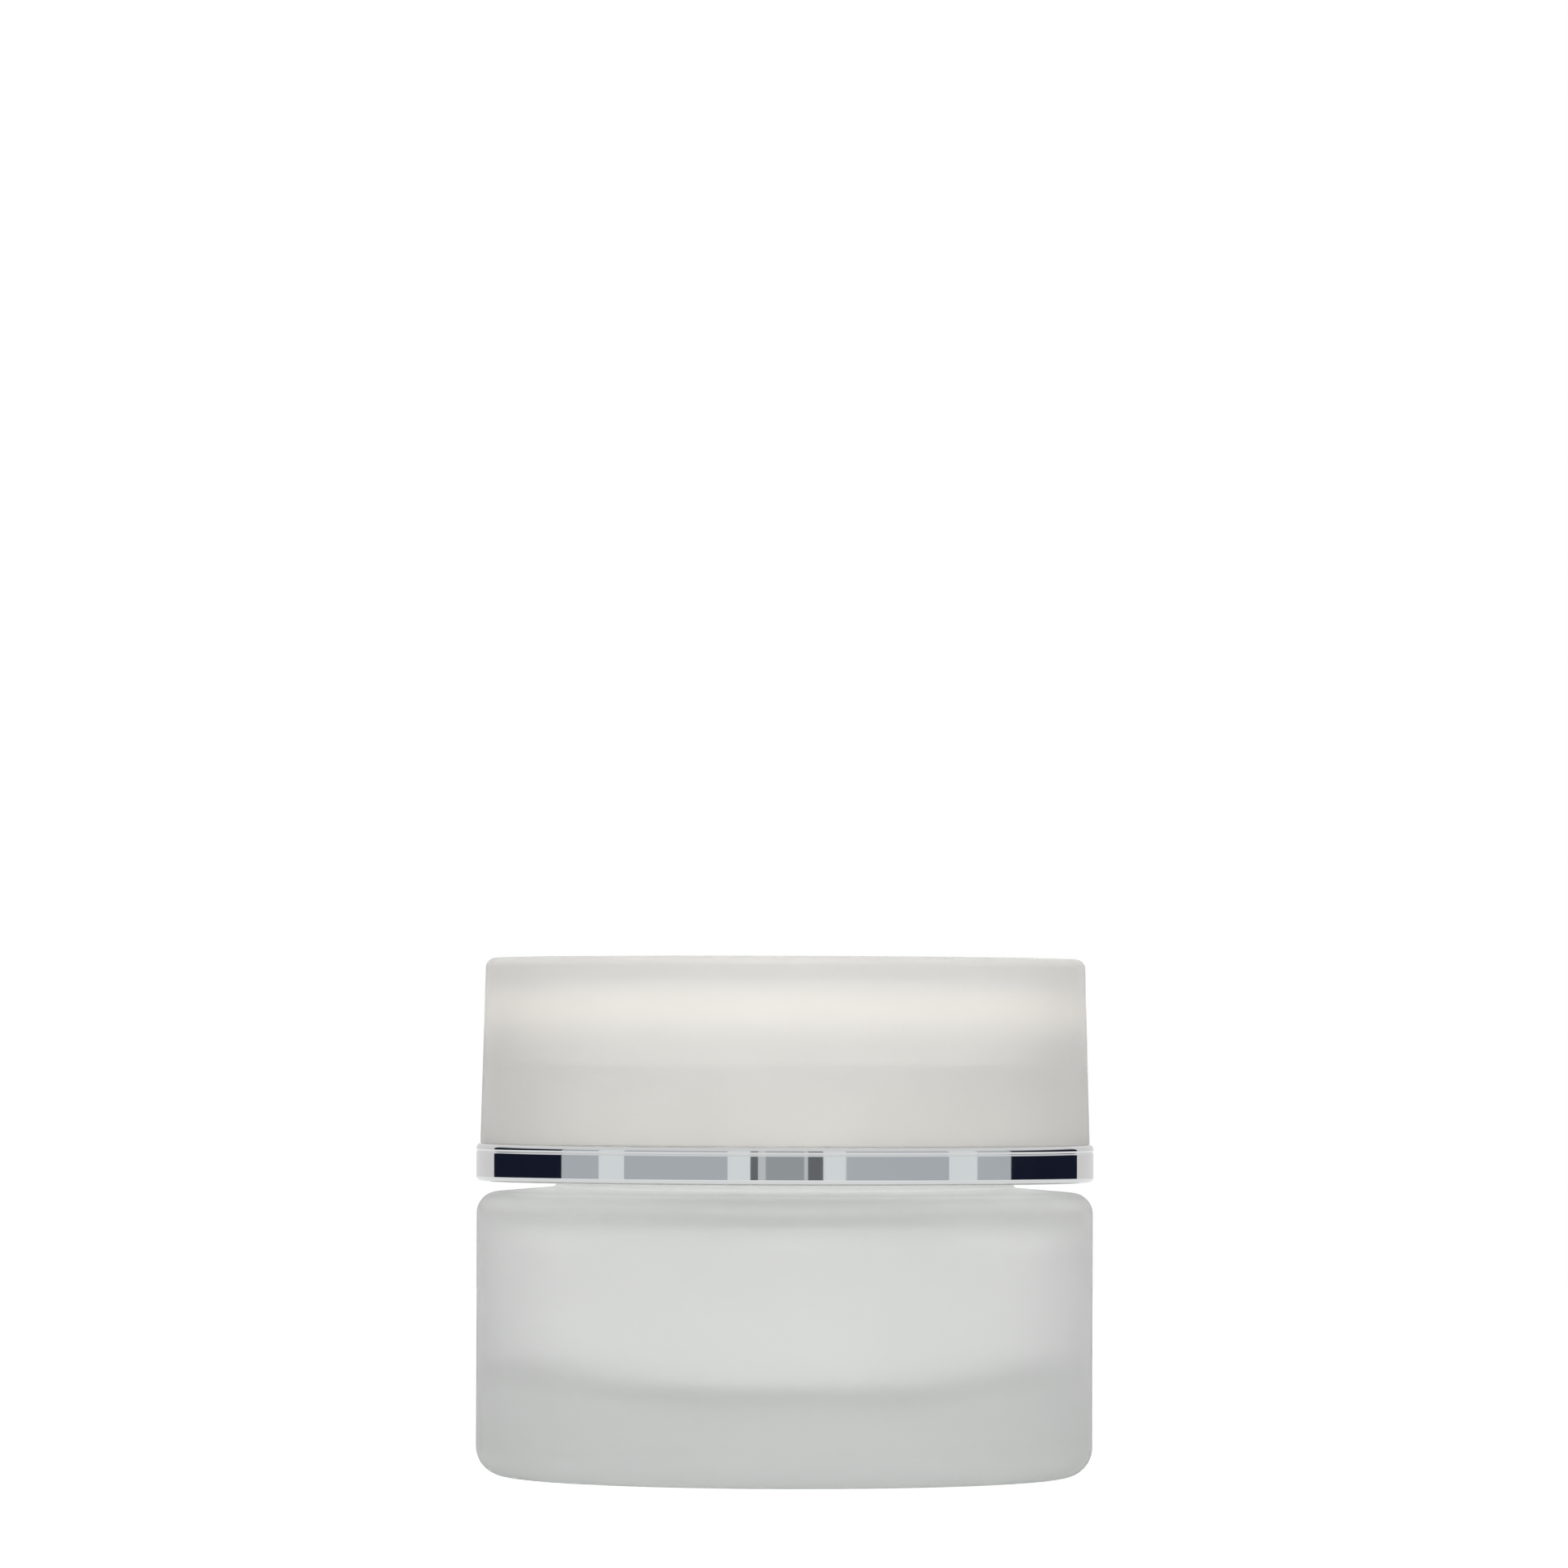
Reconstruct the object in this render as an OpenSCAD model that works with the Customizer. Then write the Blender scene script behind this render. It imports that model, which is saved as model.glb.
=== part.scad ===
// Cosmetic cream jar: a heavy-based frosted glass jar with a screw neck, a pull-off sealing
// disc in its mouth, and a screw lid made of an inner cap, a liner, a bright metal ring and a
// thick frosted shell.
// Millimetres, +Z up, origin at the middle of the base on the surface that it stands on.

/* [Jar body] */
// Outside diameter of the glass body
jar_d = 64; // [60:1:90]
// Height of the body's side, up to where it would meet the shoulder
body_h = 29.2; // [24:0.2:60]
// Rise of the shoulder from the side to the neck
shoulder_rise = 0.7; // [0:0.1:3]
// Rounding between the side and the shoulder
shoulder_round = 2.2; // [0.5:0.1:3]
// Rounding between the side and the base
base_round = 3; // [0.5:0.1:4]
// Thickness of the glass at the side
side_wall = 5; // [3:0.5:8]
// Thickness of the glass over the resting ring
base_wall = 7; // [4:0.5:12]
// Thickness of the glass under the shoulder
shoulder_wall = 2.8; // [2:0.1:5]
// Height of the hollow under the base
punt_h = 1.2; // [0.4:0.1:3]
// Diameter of the hollow under the base
punt_d = 50; // [30:1:54]

/* [Inside of the bowl] */
// Width of the rounding at the foot of the bowl
bowl_foot_w = 8; // [4:1:20]
// Height of the rounding at the foot of the bowl
bowl_foot_h = 6; // [4:1:14]
// Rounding under the shoulder
bowl_top_round = 2.4; // [1:0.1:5]

/* [Neck] */
// Outside diameter of the neck
neck_d = 47.3; // [38:0.1:52]
// Height of the neck above the shoulder
neck_h = 9.1; // [8:0.1:14]
// Thickness of the neck's wall
neck_wall = 3; // [2:0.1:4]
// Rounding of the neck's rim
rim_round = 0.6; // [0.2:0.1:1]
// Rounding where the neck meets the shoulder
neck_fillet = 0.6; // [0.2:0.1:1]

/* [Screw thread] */
// Rise of the thread in one turn
thread_pitch = 4.23; // [3.5:0.01:5]
// Height of the glass ridge above the neck
thread_depth = 1.35; // [0.8:0.05:1.6]
// Turns of the ridge on the neck
neck_turns = 1.25; // [1:0.05:1.4]
// Turns of the ridge in the cap
cap_turns = 1; // [0.5:0.05:1.1]
// Half width of a ridge at its root
ridge_root = 1.1; // [0.8:0.05:1.2]
// Half width of a ridge at its crest
ridge_crest = 0.4; // [0.2:0.05:0.5]
// From the rim down to the middle of the upper end of the ridge
thread_drop = 1.7; // [1.4:0.1:2.5]
// From a glass ridge down to the cap's ridge that bears on it
ridge_step = 1.85; // [1.7:0.05:2.1]
// Clearance between the cap's thread and the neck's thread
thread_clear = 0.3; // [0.2:0.05:0.4]

/* [Sealing disc] */
// Thickness of the disc
disc_t = 0.8; // [0.5:0.1:1.5]
// How far the disc's edge stays inside the outside of the neck
disc_inset = 0.25; // [0.1:0.05:0.5]
// Depth of the plug that enters the mouth
plug_h = 2.6; // [1.5:0.1:4]
// Thickness of the plug's wall
plug_wall = 0.8; // [0.5:0.1:1.5]
// Clearance round the plug
plug_clear = 0.15; // [0.05:0.05:0.5]
// Diameter of the finger well in the disc
well_d = 24; // [16:1:30]
// Depth of the finger well
well_h = 1.8; // [1:0.1:3]
// Length of the pull tab in the well
tab_l = 14; // [8:1:15]
// Thickness of the pull tab
tab_t = 1.4; // [0.8:0.1:2]

/* [Lid] */
// From the top of the body's side up to the lid
lid_gap = 1.3; // [1.2:0.1:3]
// Height of the metal ring
ring_h = 3.9; // [3.4:0.1:8]
// How far the ring stands proud of the glass body
ring_proud = 0.05; // [0:0.05:1]
// Thickness of the ring's band
ring_wall = 1.4; // [1:0.1:2]
// Thickness of the ring's inward ledge
ledge_t = 1; // [0.6:0.1:1.4]
// Rounding of the ring's edges
ring_round = 0.5; // [0.2:0.05:0.6]
// From the ring's top down to the groove round it
groove_drop = 0.78; // [0.7:0.02:1.4]
// Radius of the groove's section
groove_r = 0.18; // [0.1:0.02:0.3]
// Height of the shell above the ring
shell_h = 19.2; // [15:0.1:40]
// How far the shell's foot stays inside the ring
shell_step = 0.4; // [0:0.1:1.5]
// How much narrower the shell is at its top, on the radius
shell_taper = 0.52; // [0:0.02:2]
// Thickness of the shell's side at the top
shell_wall = 2.2; // [1.5:0.1:4]
// Thickness of the shell's top
shell_top = 2.4; // [1.5:0.1:5]
// Rounding of the shell's top edge
shell_round = 1; // [0.3:0.1:2]

/* [Inner cap and liner] */
// Thickness of the threaded skirt
skirt_wall = 1.4; // [1:0.1:1.6]
// From the lid's lower edge up to the skirt
skirt_lift = 0.4; // [0:0.1:1]
// Thickness of the inner cap's top
web_t = 1.5; // [1:0.1:3]
// Thickness of the flange that carries the ring
flange_t = 1; // [0.6:0.1:1.2]
// Thickness of the outer wall that the shell is pressed over
sleeve_wall = 1; // [0.8:0.1:1.5]
// Thickness of the liner
liner_t = 1.2; // [0.6:0.1:2]
// Clearance between pieces that are joined in the lid
fit_clear = 0.05; // [0.02:0.01:0.1]
// Clearance between pieces that come apart when the lid is opened
seat_clear = 0.1; // [0.05:0.05:0.3]

/* [Hidden] */
$fn = 96;
EPS = 0.01;

// Jar
jar_r = jar_d / 2;
neck_r = neck_d / 2;
mouth_r = neck_r - neck_wall;
bowl_r = jar_r - side_wall;
shoulder_slope = shoulder_rise / (jar_r - neck_r);
shoulder_angle = 90 - atan(shoulder_slope);
neck_base_z = body_h + shoulder_rise;
rim_z = neck_base_z + neck_h;
ceiling_z = body_h - shoulder_wall;

// Thread
crest_r = neck_r + thread_depth;
cap_bore_r = crest_r + thread_clear;
cap_crest_r = neck_r + thread_clear;
ridge_sink = 0.4;
thread_top_z = rim_z - thread_drop;
thread_foot_z = thread_top_z - neck_turns * thread_pitch;
STEP_ANGLE = 5;
FADE_ANGLE = 25;

// Lid, from the outside in and from the bottom up
lid_z = body_h + lid_gap;
ring_top_z = lid_z + ring_h;
lid_top_z = ring_top_z + shell_h;
ring_r = jar_r + ring_proud;
shell_foot_r = ring_r - shell_step;
shell_top_r = shell_foot_r - shell_taper;
shell_bore_r = shell_top_r - shell_wall;
skirt_r = cap_bore_r + skirt_wall;
skirt_z = lid_z + skirt_lift;
disc_z = rim_z + seat_clear / 2;
liner_z = disc_z + disc_t + seat_clear;
web_z = liner_z + liner_t + seat_clear;
ledge_z = ring_top_z - ledge_t;
flange_z = ledge_z - flange_t;
groove_z = ring_top_z - groove_drop;

// The cap's ridge starts where its lower flank is clear of the skirt's edge
cap_thread_z = skirt_z + ridge_root + seat_clear;
cap_thread_angle = (cap_thread_z + ridge_step - thread_foot_z) / thread_pitch * 360;

// Points along an arc of an ellipse in the outline plane, from one angle to another
function arc(x, z, rx, rz, from, to, n = 8) =
    [for (i = [0 : n]) let (a = from + (to - from) * i / n) [x + rx * cos(a), z + rz * sin(a)]];

function shoulder_z(r) = body_h + shoulder_slope * (jar_r - r);

// Share of the ridge's full height at an angle along it
function fade(a, length) = min(1, a / FADE_ANGLE, (length - a) / FADE_ANGLE);

// A helical ridge of trapezoid section. It stands on a wall of radius wall_r and reaches
// towards peak_r, which is larger on the neck and smaller in the cap.
module ridge(wall_r, peak_r, turns) {
    side = sign(peak_r - wall_r);
    length = turns * 360;
    steps = round(length / STEP_ANGLE);
    root_r = wall_r - side * ridge_sink;
    points = [
        for (i = [0 : steps])
            let (a = length * i / steps)
            let (rise = thread_pitch * a / 360)
            let (k = fade(a, length))
            let (tip_r = wall_r - side * ridge_sink / 4 + k * (peak_r - wall_r + side * ridge_sink / 4))
            each [
                [root_r * cos(a), root_r * sin(a), rise - ridge_root],
                [tip_r * cos(a), tip_r * sin(a), rise - ridge_crest],
                [tip_r * cos(a), tip_r * sin(a), rise + ridge_crest],
                [root_r * cos(a), root_r * sin(a), rise + ridge_root]
            ]
    ];
    flanks = [
        for (i = [0 : steps - 1], j = [0 : 3])
            let (p = 4 * i + j, q = 4 * i + (j + 1) % 4)
            each [[p, p + 4, q + 4], [p, q + 4, q]]
    ];
    last = 4 * steps;
    ends = [[0, 1, 2], [0, 2, 3], [last, last + 2, last + 1], [last, last + 3, last + 2]];
    faces = concat(flanks, ends);
    polyhedron(points, side > 0 ? [for (f = faces) [f[2], f[1], f[0]]] : faces);
}

module ring_of(inner_r, outer_r, z, h) {
    translate([0, 0, z])
    rotate_extrude()
    translate([inner_r, 0])
    square([outer_r - inner_r, h]);
}

module jar_outside() {
    dome_r = (pow(punt_d / 2, 2) + pow(punt_h, 2)) / (2 * punt_h);
    corner_x = jar_r - shoulder_round;
    corner_z = shoulder_z(corner_x) - shoulder_round / sin(shoulder_angle);
    fillet_x = neck_r + neck_fillet;
    fillet_z = shoulder_z(fillet_x) + neck_fillet / sin(shoulder_angle);
    polygon(concat(
        arc(0, punt_h - dome_r, dome_r, dome_r, 90, acos(punt_d / 2 / dome_r), 6),
        arc(jar_r - base_round, base_round, base_round, base_round, -90, 0),
        arc(corner_x, corner_z, shoulder_round, shoulder_round, 0, shoulder_angle),
        arc(fillet_x, fillet_z, neck_fillet, neck_fillet, shoulder_angle + 180, 180, 4),
        arc(neck_r - rim_round, rim_z - rim_round, rim_round, rim_round, 0, 90, 5),
        [[0, rim_z]]
    ));
}

module bowl() {
    foot_x = bowl_r - bowl_foot_w;
    foot_z = base_wall + bowl_foot_h;
    top_x = bowl_r - bowl_top_round;
    top_z = ceiling_z - bowl_top_round;
    lip_x = mouth_r + rim_round;
    polygon(concat(
        [[0, base_wall]],
        arc(foot_x, foot_z, bowl_foot_w, bowl_foot_h, -90, 0, 14),
        arc(top_x, top_z, bowl_top_round, bowl_top_round, 0, 90, 6),
        arc(lip_x, ceiling_z + rim_round, rim_round, rim_round, 270, 180, 4),
        arc(lip_x, rim_z - rim_round, rim_round, rim_round, 180, 90, 4),
        [[lip_x, rim_z + 1], [0, rim_z + 1]]
    ));
}

module glass_jar() {
    color([0.80, 0.82, 0.80])
    union() {
        difference() {
            rotate_extrude() jar_outside();
            rotate_extrude() bowl();
        }
        translate([0, 0, thread_foot_z]) ridge(neck_r, crest_r, neck_turns);
    }
}

module sealing_disc() {
    plug_r = mouth_r - plug_clear;
    well_r = well_d / 2;
    top_z = disc_z + disc_t;
    floor_z = top_z - well_h - disc_t;
    color([0.93, 0.93, 0.91])
    union() {
        rotate_extrude()
        polygon([
            [0, floor_z],
            [well_r + disc_t, floor_z],
            [well_r + disc_t, disc_z],
            [plug_r - plug_wall, disc_z],
            [plug_r - plug_wall, disc_z - plug_h],
            [plug_r - plug_wall / 3, disc_z - plug_h],
            [plug_r, disc_z - plug_h + plug_wall],
            [plug_r, disc_z],
            [neck_r - disc_inset, disc_z],
            [neck_r - disc_inset, top_z],
            [well_r, top_z],
            [well_r, top_z - well_h],
            [0, top_z - well_h]
        ]);
        translate([-tab_l / 2, -tab_t / 2, top_z - well_h - EPS]) cube([tab_l, tab_t, well_h + EPS]);
    }
}

module cap_liner() {
    color([0.96, 0.96, 0.95])
    translate([0, 0, liner_z])
    cylinder(h = liner_t, r = cap_bore_r - 2 * seat_clear);
}

module inner_cap() {
    sleeve_r = shell_bore_r - fit_clear;
    flange_r = ring_r - ring_wall - fit_clear;
    color([0.95, 0.95, 0.94])
    union() {
        ring_of(cap_bore_r, skirt_r, skirt_z, web_z + web_t - skirt_z);
        translate([0, 0, web_z]) cylinder(h = web_t, r = sleeve_r);
        ring_of(sleeve_r - sleeve_wall, sleeve_r, flange_z, web_z + web_t - flange_z);
        ring_of(sleeve_r - sleeve_wall, flange_r, flange_z, flange_t);
        translate([0, 0, thread_foot_z - ridge_step])
        rotate([0, 0, cap_thread_angle])
        translate([0, 0, thread_pitch * cap_thread_angle / 360])
        ridge(cap_bore_r, cap_crest_r, cap_turns);
    }
}

module chrome_ring() {
    ledge_r = shell_bore_r + 2 * fit_clear;
    band_r = ring_r - ring_wall;
    color([0.78, 0.79, 0.80])
    rotate_extrude()
    polygon(concat(
        [[ledge_r, ledge_z], [band_r, ledge_z], [band_r, lid_z]],
        arc(ring_r - ring_round, lid_z + ring_round, ring_round, ring_round, -90, 0, 6),
        arc(ring_r, groove_z, groove_r, groove_r, 270, 90, 8),
        arc(ring_r - ring_round, ring_top_z - ring_round, ring_round, ring_round, 0, 90, 6),
        [[ledge_r, ring_top_z]]
    ));
}

module cap_shell() {
    inner_round = shell_wall / 2;
    ceiling = lid_top_z - shell_top;
    color([0.86, 0.86, 0.84])
    rotate_extrude()
    polygon(concat(
        [[shell_bore_r, ring_top_z], [shell_foot_r, ring_top_z]],
        arc(shell_top_r - shell_round, lid_top_z - shell_round, shell_round, shell_round, 0, 90),
        [[0, lid_top_z], [0, ceiling]],
        arc(shell_bore_r - inner_round, ceiling - inner_round, inner_round, inner_round, 90, 0, 4)
    ));
}

glass_jar();
sealing_disc();
cap_liner();
inner_cap();
chrome_ring();
cap_shell();
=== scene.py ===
"""Frosted cream jar with a screw lid: the visual model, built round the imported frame."""
import math

import bmesh
import bpy
from mathutils import Matrix, Vector


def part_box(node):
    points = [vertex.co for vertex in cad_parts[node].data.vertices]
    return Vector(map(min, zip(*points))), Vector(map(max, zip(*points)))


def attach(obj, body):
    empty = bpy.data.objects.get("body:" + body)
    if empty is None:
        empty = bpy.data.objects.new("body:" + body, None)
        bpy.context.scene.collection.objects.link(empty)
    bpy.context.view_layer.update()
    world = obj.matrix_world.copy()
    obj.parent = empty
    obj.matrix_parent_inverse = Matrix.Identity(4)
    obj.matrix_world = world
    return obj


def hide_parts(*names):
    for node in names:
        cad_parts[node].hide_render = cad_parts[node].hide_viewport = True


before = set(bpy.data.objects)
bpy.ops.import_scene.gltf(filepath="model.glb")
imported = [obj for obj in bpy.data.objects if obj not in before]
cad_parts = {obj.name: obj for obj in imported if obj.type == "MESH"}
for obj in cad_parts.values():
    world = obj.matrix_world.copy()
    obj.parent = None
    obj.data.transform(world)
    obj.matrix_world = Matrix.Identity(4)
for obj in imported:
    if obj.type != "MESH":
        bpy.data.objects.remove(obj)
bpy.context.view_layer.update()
MM = 0.001
TURN = 2 * math.pi
QUARTER = math.pi / 2

# ---------------------------------------------------------------- sizes, from the frame

JAR_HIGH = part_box("glass_jar")[1]
SHELL_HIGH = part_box("cap_shell")[1]
RING_LOW, RING_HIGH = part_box("chrome_ring")
INNER_LOW, INNER_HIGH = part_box("inner_cap")
DISC_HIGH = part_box("sealing_disc")[1]
LINER_LOW, LINER_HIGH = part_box("cap_liner")

# Jar
JAR_R = 32.0 * MM
RIM_Z = JAR_HIGH.z
NECK_H = 9.1 * MM
SHOULDER_RISE = 0.7 * MM
BODY_H = RIM_Z - NECK_H - SHOULDER_RISE
NECK_R = 23.65 * MM
MOUTH_R = 20.65 * MM
BOWL_R = 27.0 * MM
BOWL_Z = 7.0 * MM
CEILING_Z = BODY_H - 2.8 * MM
BOWL_FOOT_W = 8.0 * MM
BOWL_FOOT_H = 6.0 * MM
PUNT_R = 25.0 * MM
PUNT_H = 1.2 * MM

# Thread
PITCH = 4.23 * MM
THREAD_DEPTH = 1.35 * MM
THREAD_CLEAR = 0.3 * MM
RIDGE_ROOT = 1.1 * MM
RIDGE_CREST = 0.4 * MM
NECK_TURNS = 1.25
CAP_TURNS = 1.0
THREAD_FOOT_Z = RIM_Z - 1.7 * MM - NECK_TURNS * PITCH
RIDGE_STEP = 1.85 * MM
FADE = math.radians(25)

# Lid
LID_Z = RING_LOW.z
RING_TOP_Z = RING_HIGH.z
LID_TOP_Z = SHELL_HIGH.z
RING_R = RING_HIGH.x
RING_WALL = 1.4 * MM
LEDGE_T = 1.0 * MM
RING_ROUND = 0.5 * MM
SHELL_FOOT_R = RING_R - 0.4 * MM
SHELL_TOP_R = SHELL_FOOT_R - 0.52 * MM
SHELL_BORE_R = SHELL_TOP_R - 2.2 * MM
SHELL_TOP = 2.4 * MM
SHELL_ROUND = 1.0 * MM
CAP_BORE_R = NECK_R + THREAD_DEPTH + THREAD_CLEAR
SKIRT_R = CAP_BORE_R + 1.4 * MM
SKIRT_Z = INNER_LOW.z
WEB_TOP_Z = INNER_HIGH.z
WEB_Z = WEB_TOP_Z - 1.5 * MM
FLANGE_TOP_Z = RING_TOP_Z - LEDGE_T
FLANGE_Z = FLANGE_TOP_Z - 1.0 * MM
FIT = 0.05 * MM
SLEEVE_WALL = 1.0 * MM

STEPS = 180  # faces round a turned piece
THREAD_CUT = 0.15 * MM  # height of the rows on a wall that carries a thread
CLOSE = 0.01 * MM  # two places nearer than this are the same


# ---------------------------------------------------------------- turned shapes


def rounding_offset(corner, before, after, radius):
    """How far back along both edges an arc of this radius starts."""
    one = (before - corner).normalized()
    two = (after - corner).normalized()
    return radius / math.tan(one.angle(two) / 2)


def outline(bm, points, closed=False, rounds=None):
    """Draws a section in the XZ plane and rounds the corners that rounds names, in metres."""
    verts = [bm.verts.new((r, 0, z)) for r, z in points]
    spots = [v.co.copy() for v in verts]
    count = len(verts)
    for i in range(count if closed else count - 1):
        bm.edges.new((verts[i], verts[(i + 1) % count]))
    for i, (radius, segments) in (rounds or {}).items():
        offset = rounding_offset(spots[i], spots[i - 1], spots[(i + 1) % count], radius)
        bmesh.ops.bevel(bm, geom=[verts[i]], offset=offset, offset_type="OFFSET", segments=segments,
                        profile=0.5, affect="VERTICES", material=-1)
    return bm


def divide(bm, picks, length):
    """Cuts the edges that picks chooses into pieces no longer than length."""
    for edge in [e for e in bm.edges if picks(e)]:
        cuts = math.ceil(edge.calc_length() / length) - 1
        if cuts > 0:
            bmesh.ops.subdivide_edges(bm, edges=[edge], cuts=cuts)


def on_wall(edge, radius):
    return all(abs(v.co.x - radius) < CLOSE for v in edge.verts)


def turn(bm, steps=STEPS):
    """Spins the section round the axis and closes the seam and the poles."""
    bmesh.ops.spin(bm, geom=bm.verts[:] + bm.edges[:], cent=(0, 0, 0), axis=(0, 0, 1),
                   dvec=(0, 0, 0), angle=TURN, steps=steps, use_merge=True, use_duplicate=False)
    bmesh.ops.remove_doubles(bm, verts=bm.verts[:], dist=0.001 * MM)
    bmesh.ops.recalc_face_normals(bm, faces=bm.faces[:])
    return bm


def finish_piece(bm, name, body, node, material, sharp=35):
    mesh = bpy.data.meshes.new(name)
    bm.to_mesh(mesh)
    bm.free()
    mesh.shade_smooth()
    mesh.set_sharp_from_angle(angle=math.radians(sharp))
    piece = bpy.data.objects.new(name, mesh)
    bpy.context.scene.collection.objects.link(piece)
    mesh.materials.append(material)
    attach(piece, body)
    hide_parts(node)
    return piece


def ridge_height(angle, z, foot_z, first_angle, turns):
    """Share of a thread's full height at a place on its wall; the ridge fades in and out."""
    best = 0.0
    length = turns * TURN
    along = (angle - first_angle) % TURN
    while along <= length:
        middle = foot_z + PITCH * (first_angle + along) / TURN
        flank = (RIDGE_ROOT - abs(z - middle)) / (RIDGE_ROOT - RIDGE_CREST)
        flank = max(0.0, min(1.0, flank))
        ends = max(0.0, min(1.0, along / FADE, (length - along) / FADE))
        best = max(best, flank * flank * (3 - 2 * flank) * ends)
        along += TURN
    return best


def raise_thread(bm, wall_r, depth, low, high, foot_z, first_angle, turns):
    """Moves a wall's own points outwards, or inwards for a negative depth, into a helical ridge."""
    for v in bm.verts:
        r = math.hypot(v.co.x, v.co.y)
        if abs(r - wall_r) < CLOSE and low < v.co.z < high:
            angle = math.atan2(v.co.y, v.co.x) % TURN
            grown = (r + depth * ridge_height(angle, v.co.z, foot_z, first_angle, turns)) / r
            v.co.x *= grown
            v.co.y *= grown


# ---------------------------------------------------------------- node helpers


def new_material(name):
    material = bpy.data.materials.new(name)
    material.use_nodes = True
    nodes = material.node_tree.nodes
    shader = next(n for n in nodes if n.type == "BSDF_PRINCIPLED")
    return material, nodes, material.node_tree.links, shader


def ramp(nodes, stops, interpolation="LINEAR"):
    node = nodes.new("ShaderNodeValToRGB")
    node.color_ramp.interpolation = interpolation
    elements = node.color_ramp.elements
    while len(elements) > 1:
        elements.remove(elements[-1])
    elements[0].position = stops[0][0]
    elements[0].color = (*stops[0][1], 1)
    for position, colour in stops[1:]:
        elements.new(position).color = (*colour, 1)
    return node


def grey(value):
    return (value, value, value)


def mirror_only(nodes, links, path):
    """Marks the rays that come off a mirror and haven't been through glass."""
    mirrored = nodes.new("ShaderNodeMath")
    mirrored.operation = "SUBTRACT"
    mirrored.use_clamp = True
    links.new(path.outputs["Is Glossy Ray"], mirrored.inputs[0])
    links.new(path.outputs["Is Transmission Ray"], mirrored.inputs[1])
    return mirrored.outputs[0]


def frost_group():
    """Fine grain of a blasted, etched or moulded surface: a slow shade, a roughness and a normal."""
    tree = bpy.data.node_groups.new("frost", "ShaderNodeTree")
    for name, kind, value in (("Roughness", "NodeSocketFloat", 0.5), ("Variation", "NodeSocketFloat", 0.1),
                              ("Grain", "NodeSocketFloat", 6000.0), ("Depth", "NodeSocketFloat", 0.2)):
        socket = tree.interface.new_socket(name, in_out="INPUT", socket_type=kind)
        socket.default_value = value
    tree.interface.new_socket("Shade", in_out="OUTPUT", socket_type="NodeSocketFloat")
    tree.interface.new_socket("Roughness", in_out="OUTPUT", socket_type="NodeSocketFloat")
    tree.interface.new_socket("Normal", in_out="OUTPUT", socket_type="NodeSocketVector")
    nodes, links = tree.nodes, tree.links
    inside = nodes.new("NodeGroupInput")
    outside = nodes.new("NodeGroupOutput")
    place = nodes.new("ShaderNodeTexCoord")
    grain = nodes.new("ShaderNodeTexNoise")
    grain.inputs["Detail"].default_value = 3
    cloud = nodes.new("ShaderNodeTexNoise")
    cloud.inputs["Scale"].default_value = 90
    cloud.inputs["Detail"].default_value = 2
    spread = nodes.new("ShaderNodeMath")
    spread.operation = "SUBTRACT"
    spread.inputs[1].default_value = 0.5
    share = nodes.new("ShaderNodeMath")
    share.operation = "MULTIPLY_ADD"
    bump = nodes.new("ShaderNodeBump")
    bump.inputs["Distance"].default_value = 0.02 * MM
    links.new(place.outputs["Object"], grain.inputs["Vector"])
    links.new(place.outputs["Object"], cloud.inputs["Vector"])
    links.new(inside.outputs["Grain"], grain.inputs["Scale"])
    links.new(cloud.outputs["Fac"], spread.inputs[0])
    links.new(spread.outputs[0], share.inputs[0])
    links.new(inside.outputs["Variation"], share.inputs[1])
    links.new(inside.outputs["Roughness"], share.inputs[2])
    links.new(inside.outputs["Depth"], bump.inputs["Strength"])
    links.new(grain.outputs["Fac"], bump.inputs["Height"])
    links.new(cloud.outputs["Fac"], outside.inputs["Shade"])
    links.new(share.outputs[0], outside.inputs["Roughness"])
    links.new(bump.outputs["Normal"], outside.inputs["Normal"])
    return tree


def add_frost(nodes, links, shader, group, roughness, variation, grain, depth, link_roughness=True):
    frost = nodes.new("ShaderNodeGroup")
    frost.node_tree = group
    frost.inputs["Roughness"].default_value = roughness
    frost.inputs["Variation"].default_value = variation
    frost.inputs["Grain"].default_value = grain
    frost.inputs["Depth"].default_value = depth
    if link_roughness:
        links.new(frost.outputs["Roughness"], shader.inputs["Roughness"])
    links.new(frost.outputs["Normal"], shader.inputs["Normal"])
    return frost


def tint(nodes, links, shader, mask, dark, light):
    """Base colour that wanders between two close shades."""
    shades = ramp(nodes, [(0.3, dark), (0.7, light)])
    links.new(mask, shades.inputs["Fac"])
    links.new(shades.outputs["Color"], shader.inputs["Base Color"])
    return shades


# ---------------------------------------------------------------- materials


def add_painted_glow(nodes, links, shader, colour):
    """Painted glow: emission standing in for the light that frosted walls send round inside a piece, as strong as
    the piece's glow attribute says.
    """
    mask = nodes.new("ShaderNodeAttribute")
    mask.attribute_name = "painted_glow"
    glow = ramp(nodes, [(0.0, grey(0)), (1.0, colour)])
    links.new(mask.outputs["Fac"], glow.inputs["Fac"])
    links.new(glow.outputs["Color"], shader.inputs["Emission Color"])
    shader.inputs["Emission Strength"].default_value = 1


# Colours of the painted glow that the jar and the lid's hollow emit
GLASS_PAINTED_GLOW_COLOUR = (0.3, 0.305, 0.3)
SHELL_PAINTED_GLOW_COLOUR = (0.23, 0.21, 0.18)
CLEAR_ROUGHNESS = 0.15


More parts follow.
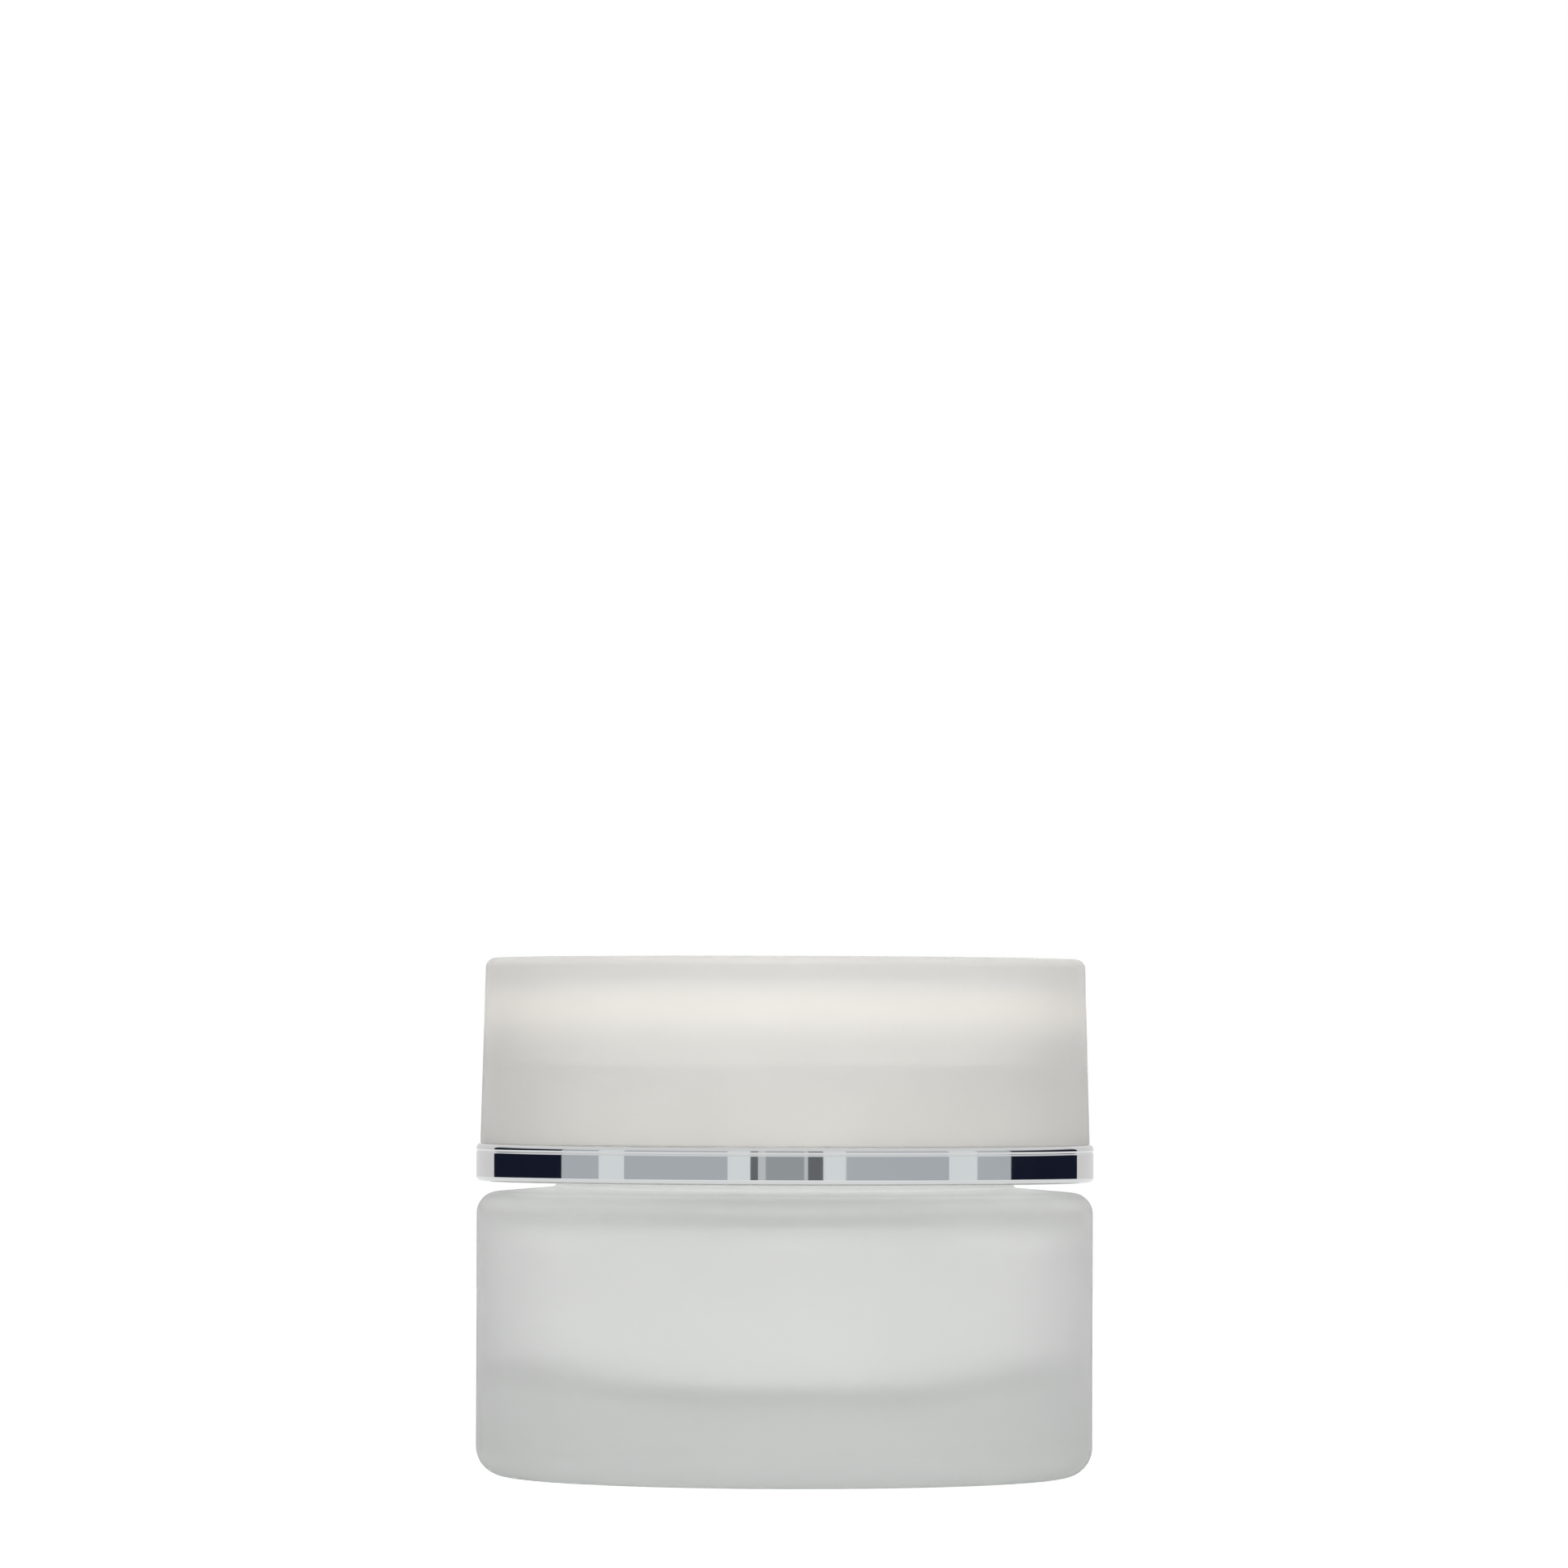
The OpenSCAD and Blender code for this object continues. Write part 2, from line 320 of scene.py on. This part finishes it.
def frosted_glass(group):
    material, nodes, links, shader = new_material("frosted_glass")
    shader.inputs["Transmission Weight"].default_value = 0.85
    shader.inputs["IOR"].default_value = 1.5
    frost = add_frost(nodes, links, shader, group, roughness=0.4, variation=0.08, grain=5000, depth=0.25,
                      link_roughness=False)
    shades = tint(nodes, links, shader, frost.outputs["Shade"], (0.912, 0.917, 0.91), (0.928, 0.933, 0.928))
    # The heavy base is greener and darker towards the bottom: partly the glass's own faint green, which its
    # thickness shows, partly painted shade at the foot.
    foot = nodes.new("ShaderNodeAttribute")
    foot.attribute_name = "foot"
    thick = nodes.new("ShaderNodeMix")
    thick.data_type = "RGBA"
    thick.blend_type = "MULTIPLY"
    # The multiplying colour: the glass's green, and painted shade that darkens it
    thick.inputs["B"].default_value = (0.87, 0.9, 0.882, 1)
    links.new(foot.outputs["Fac"], thick.inputs["Factor"])
    links.new(shades.outputs["Color"], thick.inputs["A"])
    links.new(thick.outputs["Result"], shader.inputs["Base Color"])
    # The etched outside is rough; the bowl, which the etching doesn't reach, stays clear.
    mask = nodes.new("ShaderNodeAttribute")
    mask.attribute_name = "etched"
    etching = nodes.new("ShaderNodeMath")
    etching.operation = "MULTIPLY_ADD"
    etching.inputs[2].default_value = CLEAR_ROUGHNESS
    links.new(mask.outputs["Fac"], etching.inputs[0])
    links.new(frost.outputs["Roughness"], etching.inputs[1])
    links.new(etching.outputs[0], shader.inputs["Roughness"])
    # Painted glow: the bowl, the mouth, the shoulder and the foot of the neck emit a little light, standing in
    # for the light that the frosting sends round inside the glass.
    add_painted_glow(nodes, links, shader, GLASS_PAINTED_GLOW_COLOUR)
    return material


def frosted_shell(group):
    material, nodes, links, shader = new_material("frosted_shell")
    shader.inputs["Transmission Weight"].default_value = 0.75
    shader.inputs["IOR"].default_value = 1.49
    frost = add_frost(nodes, links, shader, group, roughness=0.45, variation=0.08, grain=5000, depth=0.2)
    tint(nodes, links, shader, frost.outputs["Shade"], (0.922, 0.922, 0.912), (0.938, 0.938, 0.928))
    # Painted glow: the hollow over the inner cap emits light, standing in for light that gets in by the top and
    # can't get out again.
    add_painted_glow(nodes, links, shader, SHELL_PAINTED_GLOW_COLOUR)
    return material


def bright_metal():
    """Plated and polished: fine lines from the buffing wheel run round it, under faint handling marks."""
    material, nodes, links, shader = new_material("bright_metal")
    shader.inputs["Metallic"].default_value = 1
    place = nodes.new("ShaderNodeTexCoord")
    lie = nodes.new("ShaderNodeMapping")
    lie.inputs["Scale"].default_value = (60, 60, 6000)
    buffing = nodes.new("ShaderNodeTexNoise")
    buffing.inputs["Scale"].default_value = 1
    buffing.inputs["Detail"].default_value = 4
    links.new(place.outputs["Object"], lie.inputs["Vector"])
    links.new(lie.outputs["Vector"], buffing.inputs["Vector"])
    marks = nodes.new("ShaderNodeTexNoise")
    marks.inputs["Scale"].default_value = 140
    marks.inputs["Detail"].default_value = 6
    links.new(place.outputs["Object"], marks.inputs["Vector"])
    tint(nodes, links, shader, marks.outputs["Fac"], (0.71, 0.72, 0.725), (0.73, 0.74, 0.745))
    worn = ramp(nodes, [(0.35, grey(0.015)), (0.75, grey(0.045))])
    links.new(marks.outputs["Fac"], worn.inputs["Fac"])
    lines = nodes.new("ShaderNodeMath")
    lines.operation = "MULTIPLY_ADD"
    lines.inputs[1].default_value = 0.02
    links.new(buffing.outputs["Fac"], lines.inputs[0])
    links.new(worn.outputs["Color"], lines.inputs[2])
    links.new(lines.outputs[0], shader.inputs["Roughness"])
    bump = nodes.new("ShaderNodeBump")
    bump.inputs["Strength"].default_value = 0.02
    bump.inputs["Distance"].default_value = 0.01 * MM
    links.new(buffing.outputs["Fac"], bump.inputs["Height"])
    links.new(bump.outputs["Normal"], shader.inputs["Normal"])
    return material


def white_plastic(group):
    """Moulded polypropylene, a little waxy, with the fine grain of the mould."""
    material, nodes, links, shader = new_material("white_plastic")
    shader.inputs["IOR"].default_value = 1.49
    frost = add_frost(nodes, links, shader, group, roughness=0.42, variation=0.12, grain=2500, depth=0.2)
    tint(nodes, links, shader, frost.outputs["Shade"], (0.79, 0.79, 0.77), (0.85, 0.85, 0.835))
    return material


def liner_foam(group):
    """Closed-cell foam wad: cells about half a millimetre across, under a thin skin."""
    material, nodes, links, shader = new_material("liner_foam")
    frost = add_frost(nodes, links, shader, group, roughness=0.6, variation=0.15, grain=1500, depth=0.5)
    place = nodes.new("ShaderNodeTexCoord")
    cells = nodes.new("ShaderNodeTexVoronoi")
    cells.inputs["Scale"].default_value = 2000
    links.new(place.outputs["Object"], cells.inputs["Vector"])
    tint(nodes, links, shader, cells.outputs["Distance"], (0.87, 0.87, 0.86), (0.80, 0.80, 0.79))
    bump = nodes.new("ShaderNodeBump")
    bump.invert = True
    bump.inputs["Strength"].default_value = 0.4
    bump.inputs["Distance"].default_value = 0.05 * MM
    links.new(cells.outputs["Distance"], bump.inputs["Height"])
    links.new(frost.outputs["Normal"], bump.inputs["Normal"])
    links.new(bump.outputs["Normal"], shader.inputs["Normal"])
    return material


# ---------------------------------------------------------------- pieces

# Heights in mm and how strong the painted glow is there, inside the bowl, outside the jar and inside the shell
BOWL_PAINTED_GLOW = ((7.5, 0.7), (12, 0.35), (23, 0.3), (25.6, 0.4), (26.6, 0.08), (29.2, 0.1), (30.5, 0.9))
TOP_PAINTED_GLOW = ((29.0, 0.0), (29.3, 0.45), (29.85, 0.85), (30.4, 0.5), (32, 0.0))
SHELL_PAINTED_GLOW = ((34, 0.52), (41, 0.28), (44.5, 0.22), (48, 1.0), (49.5, 0.9), (51, 0.3))
# Heights in mm and how strongly the heavy base is tinted there: partly its own green, partly painted shade
FOOT_GREEN_AND_SHADE = ((0, 1.0), (2, 0.8), (5, 0.3), (8, 0.0))


def build_glass_jar(material):
    bm = bmesh.new()
    foot_z = BOWL_Z + BOWL_FOOT_H
    squash = BOWL_FOOT_H / BOWL_FOOT_W
    points = [
        (0, PUNT_H), (PUNT_R * 0.5, PUNT_H * 0.75), (PUNT_R, 0), (JAR_R, 0), (JAR_R, BODY_H),
        (NECK_R, BODY_H + SHOULDER_RISE), (NECK_R, RIM_Z), (MOUTH_R, RIM_Z), (MOUTH_R, CEILING_Z),
        (BOWL_R, CEILING_Z), (BOWL_R, foot_z), (BOWL_R, foot_z - BOWL_FOOT_W), (0, foot_z - BOWL_FOOT_W),
    ]
    # Corner number, radius and segments
    rounds = {
        1: (60 * MM, 8), 2: (0.8 * MM, 4), 3: (3 * MM, 12), 4: (2.2 * MM, 10), 5: (0.6 * MM, 5),
        6: (0.6 * MM, 5), 7: (0.6 * MM, 5), 8: (0.6 * MM, 5), 9: (2.4 * MM, 8), 11: (BOWL_FOOT_W, 16),
    }
    outline(bm, points, rounds=rounds)
    # The foot of the bowl is rounded as a circle first, and pressed down to its own height.
    bowl_low = foot_z - BOWL_FOOT_W
    lower = [v for v in bm.verts if bowl_low - CLOSE <= v.co.z < foot_z - CLOSE and in_bowl(v)]
    for v in lower:
        v.co.z = foot_z - (foot_z - v.co.z) * squash
    divide(bm, lambda edge: on_wall(edge, NECK_R), THREAD_CUT)
    divide(bm, lambda edge: on_wall(edge, BOWL_R), 1 * MM)
    divide(bm, lambda edge: on_wall(edge, JAR_R), 2 * MM)
    turn(bm)
    raise_thread(bm, NECK_R, THREAD_DEPTH, BODY_H, RIM_Z, THREAD_FOOT_Z, 0, NECK_TURNS)
    etched = bm.verts.layers.float.new("etched")
    painted_glow = bm.verts.layers.float.new("painted_glow")
    foot = bm.verts.layers.float.new("foot")
    near = 0.1 * MM
    for v in bm.verts:
        r = math.hypot(v.co.x, v.co.y)
        hollow = r < BOWL_R + near and BOWL_Z - near < v.co.z < CEILING_Z + near
        mouth = r < MOUTH_R + 0.3 * MM and v.co.z > CEILING_Z
        v[etched] = 0.0 if hollow or mouth else 1.0
        # Strength of the painted glow at this height
        v[painted_glow] = level(v.co.z, BOWL_PAINTED_GLOW if hollow or mouth else TOP_PAINTED_GLOW)
        # How much of the base's green and painted shade, on the etched outside only
        v[foot] = v[etched] * level(v.co.z, FOOT_GREEN_AND_SHADE)
    return finish_piece(bm, "frosted_jar", "jar", "glass_jar", material)


def level(z, stops):
    """A value read off a line through stops, which are heights in mm and values."""
    z /= MM
    if z <= stops[0][0]:
        return stops[0][1]
    for (low, start), (high, end) in zip(stops, stops[1:]):
        if z < high:
            return start + (end - start) * (z - low) / (high - low)
    return stops[-1][1]


def in_bowl(vert):
    """True on the section's inner line, which is the part that runs from the floor to the wall."""
    return vert.co.x > BOWL_R - BOWL_FOOT_W - CLOSE or vert.co.x < CLOSE


def build_shell(material):
    bm = bmesh.new()
    ceiling = LID_TOP_Z - SHELL_TOP
    points = [
        (0, LID_TOP_Z), (SHELL_TOP_R, LID_TOP_Z), (SHELL_FOOT_R, RING_TOP_Z), (SHELL_BORE_R, RING_TOP_Z),
        (SHELL_BORE_R, ceiling), (0, ceiling),
    ]
    rounds = {1: (SHELL_ROUND, 10), 2: (0.15 * MM, 4), 3: (0.15 * MM, 4), 4: (1.1 * MM, 8)}
    outline(bm, points, rounds=rounds)
    divide(bm, lambda edge: on_wall(edge, SHELL_BORE_R), 0.8 * MM)
    turn(bm)
    # Strength of the painted glow inside the hollow, by height
    painted_glow = bm.verts.layers.float.new("painted_glow")
    for v in bm.verts:
        inside = math.hypot(v.co.x, v.co.y) < SHELL_BORE_R + CLOSE and v.co.z < ceiling + CLOSE
        v[painted_glow] = level(v.co.z, SHELL_PAINTED_GLOW) if inside else 0.0
    return finish_piece(bm, "lid_shell", "cap", "cap_shell", material)


def build_ring(material):
    bm = bmesh.new()
    band_r = RING_R - RING_WALL
    ledge_r = SHELL_BORE_R + 2 * FIT
    groove_z = RING_TOP_Z - 0.78 * MM
    groove = 0.17 * MM
    deep = 0.12 * MM
    points = [
        (ledge_r, RING_TOP_Z), (ledge_r, FLANGE_TOP_Z), (band_r, FLANGE_TOP_Z), (band_r, LID_Z), (RING_R, LID_Z),
        (RING_R, groove_z - groove), (RING_R - deep, groove_z), (RING_R, groove_z + groove), (RING_R, RING_TOP_Z),
    ]
    rounds = {3: (0.1 * MM, 3), 4: (RING_ROUND, 10), 5: (0.12 * MM, 5), 6: (0.15 * MM, 5), 7: (0.12 * MM, 5),
              8: (RING_ROUND, 10)}
    outline(bm, points, closed=True, rounds=rounds)
    # Narrow rows keep each rounding's shading off the flat walls beside it.
    divide(bm, lambda edge: on_wall(edge, RING_R), 0.1 * MM)
    turn(bm, 256)
    return finish_piece(bm, "metal_ring", "cap", "chrome_ring", material, 80)


def build_inner_cap(material):
    bm = bmesh.new()
    sleeve_out = SHELL_BORE_R - FIT
    sleeve_in = sleeve_out - SLEEVE_WALL
    flange_r = RING_R - RING_WALL - FIT
    points = [
        (0, WEB_TOP_Z), (sleeve_out, WEB_TOP_Z), (sleeve_out, FLANGE_TOP_Z), (flange_r, FLANGE_TOP_Z),
        (flange_r, FLANGE_Z), (sleeve_in, FLANGE_Z), (sleeve_in, WEB_Z), (SKIRT_R, WEB_Z), (SKIRT_R, SKIRT_Z),
        (CAP_BORE_R, SKIRT_Z), (CAP_BORE_R, WEB_Z), (0, WEB_Z),
    ]
    rounds = {i: (0.2 * MM, 3) for i in range(1, len(points) - 1)}
    outline(bm, points, rounds=rounds)
    divide(bm, lambda edge: on_wall(edge, CAP_BORE_R), THREAD_CUT)
    turn(bm)
    thread_z = SKIRT_Z + RIDGE_ROOT + 0.1 * MM
    first = (thread_z + RIDGE_STEP - THREAD_FOOT_Z) / PITCH * TURN
    raise_thread(bm, CAP_BORE_R, -THREAD_DEPTH, SKIRT_Z, WEB_Z, THREAD_FOOT_Z - RIDGE_STEP, first, CAP_TURNS)
    return finish_piece(bm, "inner_cap_moulding", "cap", "inner_cap", material)


def build_liner(material):
    bm = bmesh.new()
    edge = LINER_HIGH.x
    points = [(0, LINER_HIGH.z), (edge, LINER_HIGH.z), (edge, LINER_LOW.z), (0, LINER_LOW.z)]
    outline(bm, points, rounds={1: (0.2 * MM, 4), 2: (0.2 * MM, 4)})
    turn(bm, 128)
    return finish_piece(bm, "foam_liner", "liner", "cap_liner", material)


def build_disc(material):
    bm = bmesh.new()
    thick = 0.8 * MM
    top = DISC_HIGH.z
    under = top - thick
    well_r = 12 * MM
    well_z = top - 1.8 * MM
    plug_r = MOUTH_R - 0.15 * MM
    points = [
        (0, well_z), (well_r, well_z), (well_r, top), (DISC_HIGH.x, top), (DISC_HIGH.x, under), (plug_r, under),
        (plug_r, under - 1.8 * MM), (plug_r - 0.27 * MM, under - 2.6 * MM), (plug_r - thick, under - 2.6 * MM),
        (plug_r - thick, under), (well_r + thick, under), (well_r + thick, well_z - thick), (0, well_z - thick),
    ]
    soft = (0.2 * MM, 3)
    rounds = {1: soft, 2: (0.3 * MM, 4), 3: (0.3 * MM, 4), 4: soft, 5: soft, 7: soft, 8: soft, 9: soft, 10: soft,
              11: soft}
    outline(bm, points, rounds=rounds)
    turn(bm, 128)
    tab = bmesh.ops.create_cube(bm, size=1)["verts"]
    low = well_z - 0.2 * MM
    bmesh.ops.scale(bm, vec=(14 * MM, 1.4 * MM, top - low), verts=tab)
    bmesh.ops.translate(bm, vec=(0, 0, (top + low) / 2), verts=tab)
    edges = [e for e in bm.edges if all(v in tab for v in e.verts) and max(v.co.z for v in e.verts) > low]
    bmesh.ops.bevel(bm, geom=edges, offset=0.3 * MM, offset_type="OFFSET", segments=4, profile=0.5,
                    affect="EDGES", material=-1, clamp_overlap=True)
    return finish_piece(bm, "mouth_disc", "seal", "sealing_disc", material)


# ---------------------------------------------------------------- studio

CAMERA_AWAY = 0.905
CAMERA_UP = 44.1 * MM
CAMERA_PITCH = 0.0306
CAMERA_YAW = 0.00025
CAMERA_ROLL = 0.0032
LENS = 199.7


def add_camera():
    data = bpy.data.cameras.new("camera")
    data.lens = LENS
    data.sensor_width = 36
    data.clip_start = 0.01
    camera = bpy.data.objects.new("camera", data)
    bpy.context.scene.collection.objects.link(camera)
    aim = (Matrix.Rotation(CAMERA_YAW, 4, "Z") @ Matrix.Rotation(QUARTER + CAMERA_PITCH, 4, "X")
           @ Matrix.Rotation(CAMERA_ROLL, 4, "Z"))
    camera.matrix_world = Matrix.Translation((0, -CAMERA_AWAY, CAMERA_UP)) @ aim
    bpy.context.scene.camera = camera


FLOOR_RADIUS = 0.7
# How brightly the floor shines by itself to the camera and in the metal
FLOOR_SEEN = 0.85
FLOOR_MIRRORED = 0.6


def add_floor():
    """A pale floor that fades into the white behind it, and looks as bright in the metal."""
    bm = bmesh.new()
    bmesh.ops.create_circle(bm, cap_ends=True, cap_tris=False, segments=96, radius=FLOOR_RADIUS)
    mesh = bpy.data.meshes.new("floor")
    bm.to_mesh(mesh)
    bm.free()
    floor = bpy.data.objects.new("floor", mesh)
    bpy.context.scene.collection.objects.link(floor)
    material, nodes, links, shader = new_material("pale_floor")
    shader.inputs["Base Color"].default_value = (0.24, 0.24, 0.24, 1)
    shader.inputs["Roughness"].default_value = 0.9
    shader.inputs["Emission Color"].default_value = (1, 1, 1, 1)
    path = nodes.new("ShaderNodeLightPath")
    seen = nodes.new("ShaderNodeMath")
    seen.operation = "MULTIPLY"
    seen.inputs[1].default_value = FLOOR_SEEN
    links.new(path.outputs["Is Camera Ray"], seen.inputs[0])
    lift = nodes.new("ShaderNodeMath")
    lift.operation = "MULTIPLY_ADD"
    lift.inputs[1].default_value = FLOOR_MIRRORED
    links.new(mirror_only(nodes, links, path), lift.inputs[0])
    links.new(seen.outputs[0], lift.inputs[2])
    links.new(lift.outputs[0], shader.inputs["Emission Strength"])
    mesh.materials.append(material)


# Brightness of the studio's grey walls, white strips, black flags, sweep, camera stand and its edges
WALL = (0.50, 0.53, 0.56)
STRIP = (0.84, 0.88, 0.88)
FLAG = (0.009, 0.012, 0.026)
SWEEP = (0.74, 0.73, 0.73)
STAND = (0.37, 0.40, 0.41)
SLIT = (0.16, 0.17, 0.18)
GLINT = (0.62, 0.64, 0.64)
CEILING = (0.8, 0.8, 0.8)
# The tent's brightness from the front, 0, to the back, 1, and overhead
TENT = ((0.0, grey(1.38)), (0.25, grey(1.3)), (0.5, grey(1.6)), (1.0, grey(0.9)))
TENT_TOP = (0.65, 0.65, 0.65)
# What stands round the jar, by bearing in degrees from the camera, anticlockwise from behind.
SURROUND = (
    (-180, SWEEP), (-139.5, FLAG), (-91.8, WALL), (-73.2, STRIP), (-62.3, WALL),
    (-21.7, STRIP), (-12.8, SLIT), (-10.4, GLINT), (-8.3, STAND), (6.8, GLINT), (8.3, SLIT), (12.8, STRIP),
    (21.1, WALL), (62.6, STRIP), (75.4, WALL), (92.1, FLAG), (140.4, SWEEP),
)


def add_world():
    """The studio: a ring of cards that the metal mirrors, and a soft tent that lights the rest."""
    world = bpy.data.worlds.new("studio")
    bpy.context.scene.world = world
    world.use_nodes = True
    nodes, links = world.node_tree.nodes, world.node_tree.links
    nodes.clear()
    place = nodes.new("ShaderNodeTexCoord")
    parts = nodes.new("ShaderNodeSeparateXYZ")
    links.new(place.outputs["Generated"], parts.inputs[0])
    flip = nodes.new("ShaderNodeMath")
    flip.operation = "MULTIPLY"
    flip.inputs[1].default_value = -1
    links.new(parts.outputs["Y"], flip.inputs[0])
    bearing = nodes.new("ShaderNodeMath")
    bearing.operation = "ARCTAN2"
    links.new(parts.outputs["X"], bearing.inputs[0])
    links.new(flip.outputs[0], bearing.inputs[1])
    share = nodes.new("ShaderNodeMath")
    share.operation = "MULTIPLY_ADD"
    share.inputs[1].default_value = 1 / TURN
    share.inputs[2].default_value = 0.5
    links.new(bearing.outputs[0], share.inputs[0])
    ring = ramp(nodes, [(bearing_start / 360 + 0.5, colour) for bearing_start, colour in SURROUND], "CONSTANT")
    links.new(share.outputs[0], ring.inputs["Fac"])
    # The cards reach a little above the horizon, and the ceiling begins there.
    height = ramp(nodes, [(0.0, grey(0)), (0.15, grey(0)), (0.35, grey(1))])
    links.new(parts.outputs["Z"], height.inputs["Fac"])
    mix = nodes.new("ShaderNodeMix")
    mix.data_type = "RGBA"
    links.new(height.outputs["Color"], mix.inputs["Factor"])
    links.new(ring.outputs["Color"], mix.inputs["A"])
    mix.inputs["B"].default_value = (*CEILING, 1)
    cards = nodes.new("ShaderNodeBackground")
    links.new(mix.outputs["Result"], cards.inputs["Color"])
    # The tent: soft light from all round, strongest from the sides
    depth = nodes.new("ShaderNodeMath")
    depth.operation = "MULTIPLY_ADD"
    depth.inputs[1].default_value = 0.5
    depth.inputs[2].default_value = 0.5
    links.new(parts.outputs["Y"], depth.inputs[0])
    across = ramp(nodes, TENT)
    links.new(depth.outputs[0], across.inputs["Fac"])
    roof = nodes.new("ShaderNodeMix")
    roof.data_type = "RGBA"
    links.new(parts.outputs["Z"], roof.inputs["Factor"])
    links.new(across.outputs["Color"], roof.inputs["A"])
    roof.inputs["B"].default_value = (*TENT_TOP, 1)
    tent = nodes.new("ShaderNodeBackground")
    links.new(roof.outputs["Result"], tent.inputs["Color"])
    white = nodes.new("ShaderNodeBackground")
    white.inputs["Color"].default_value = (1, 1, 1, 1)
    path = nodes.new("ShaderNodeLightPath")
    around = nodes.new("ShaderNodeMixShader")
    links.new(mirror_only(nodes, links, path), around.inputs["Fac"])
    links.new(tent.outputs[0], around.inputs[1])
    links.new(cards.outputs[0], around.inputs[2])
    pick = nodes.new("ShaderNodeMixShader")
    links.new(path.outputs["Is Camera Ray"], pick.inputs["Fac"])
    links.new(around.outputs[0], pick.inputs[1])
    links.new(white.outputs[0], pick.inputs[2])
    out = nodes.new("ShaderNodeOutputWorld")
    links.new(pick.outputs[0], out.inputs["Surface"])


def add_soft_light(name, place, size, power):
    """A large soft light aimed at the jar. The metal doesn't mirror it."""
    data = bpy.data.lights.new(name, "AREA")
    data.shape = "RECTANGLE"
    data.size, data.size_y = size
    data.energy = power
    light = bpy.data.objects.new(name, data)
    bpy.context.scene.collection.objects.link(light)
    aim = Vector((0, 0, LID_Z)) - Vector(place)
    light.matrix_world = Matrix.Translation(place) @ aim.to_track_quat("-Z", "Y").to_matrix().to_4x4()
    light.visible_camera = False
    light.visible_glossy = False


bpy.context.scene.view_settings.view_transform = "Standard"
add_camera()
add_floor()
add_world()
add_soft_light("front_light", (0, -1.0, 0.8), (1.2, 0.8), 8)
frost = frost_group()
plastic = white_plastic(frost)
build_glass_jar(frosted_glass(frost))
build_shell(frosted_shell(frost))
build_ring(bright_metal())
build_inner_cap(plastic)
build_liner(liner_foam(frost))
build_disc(plastic)
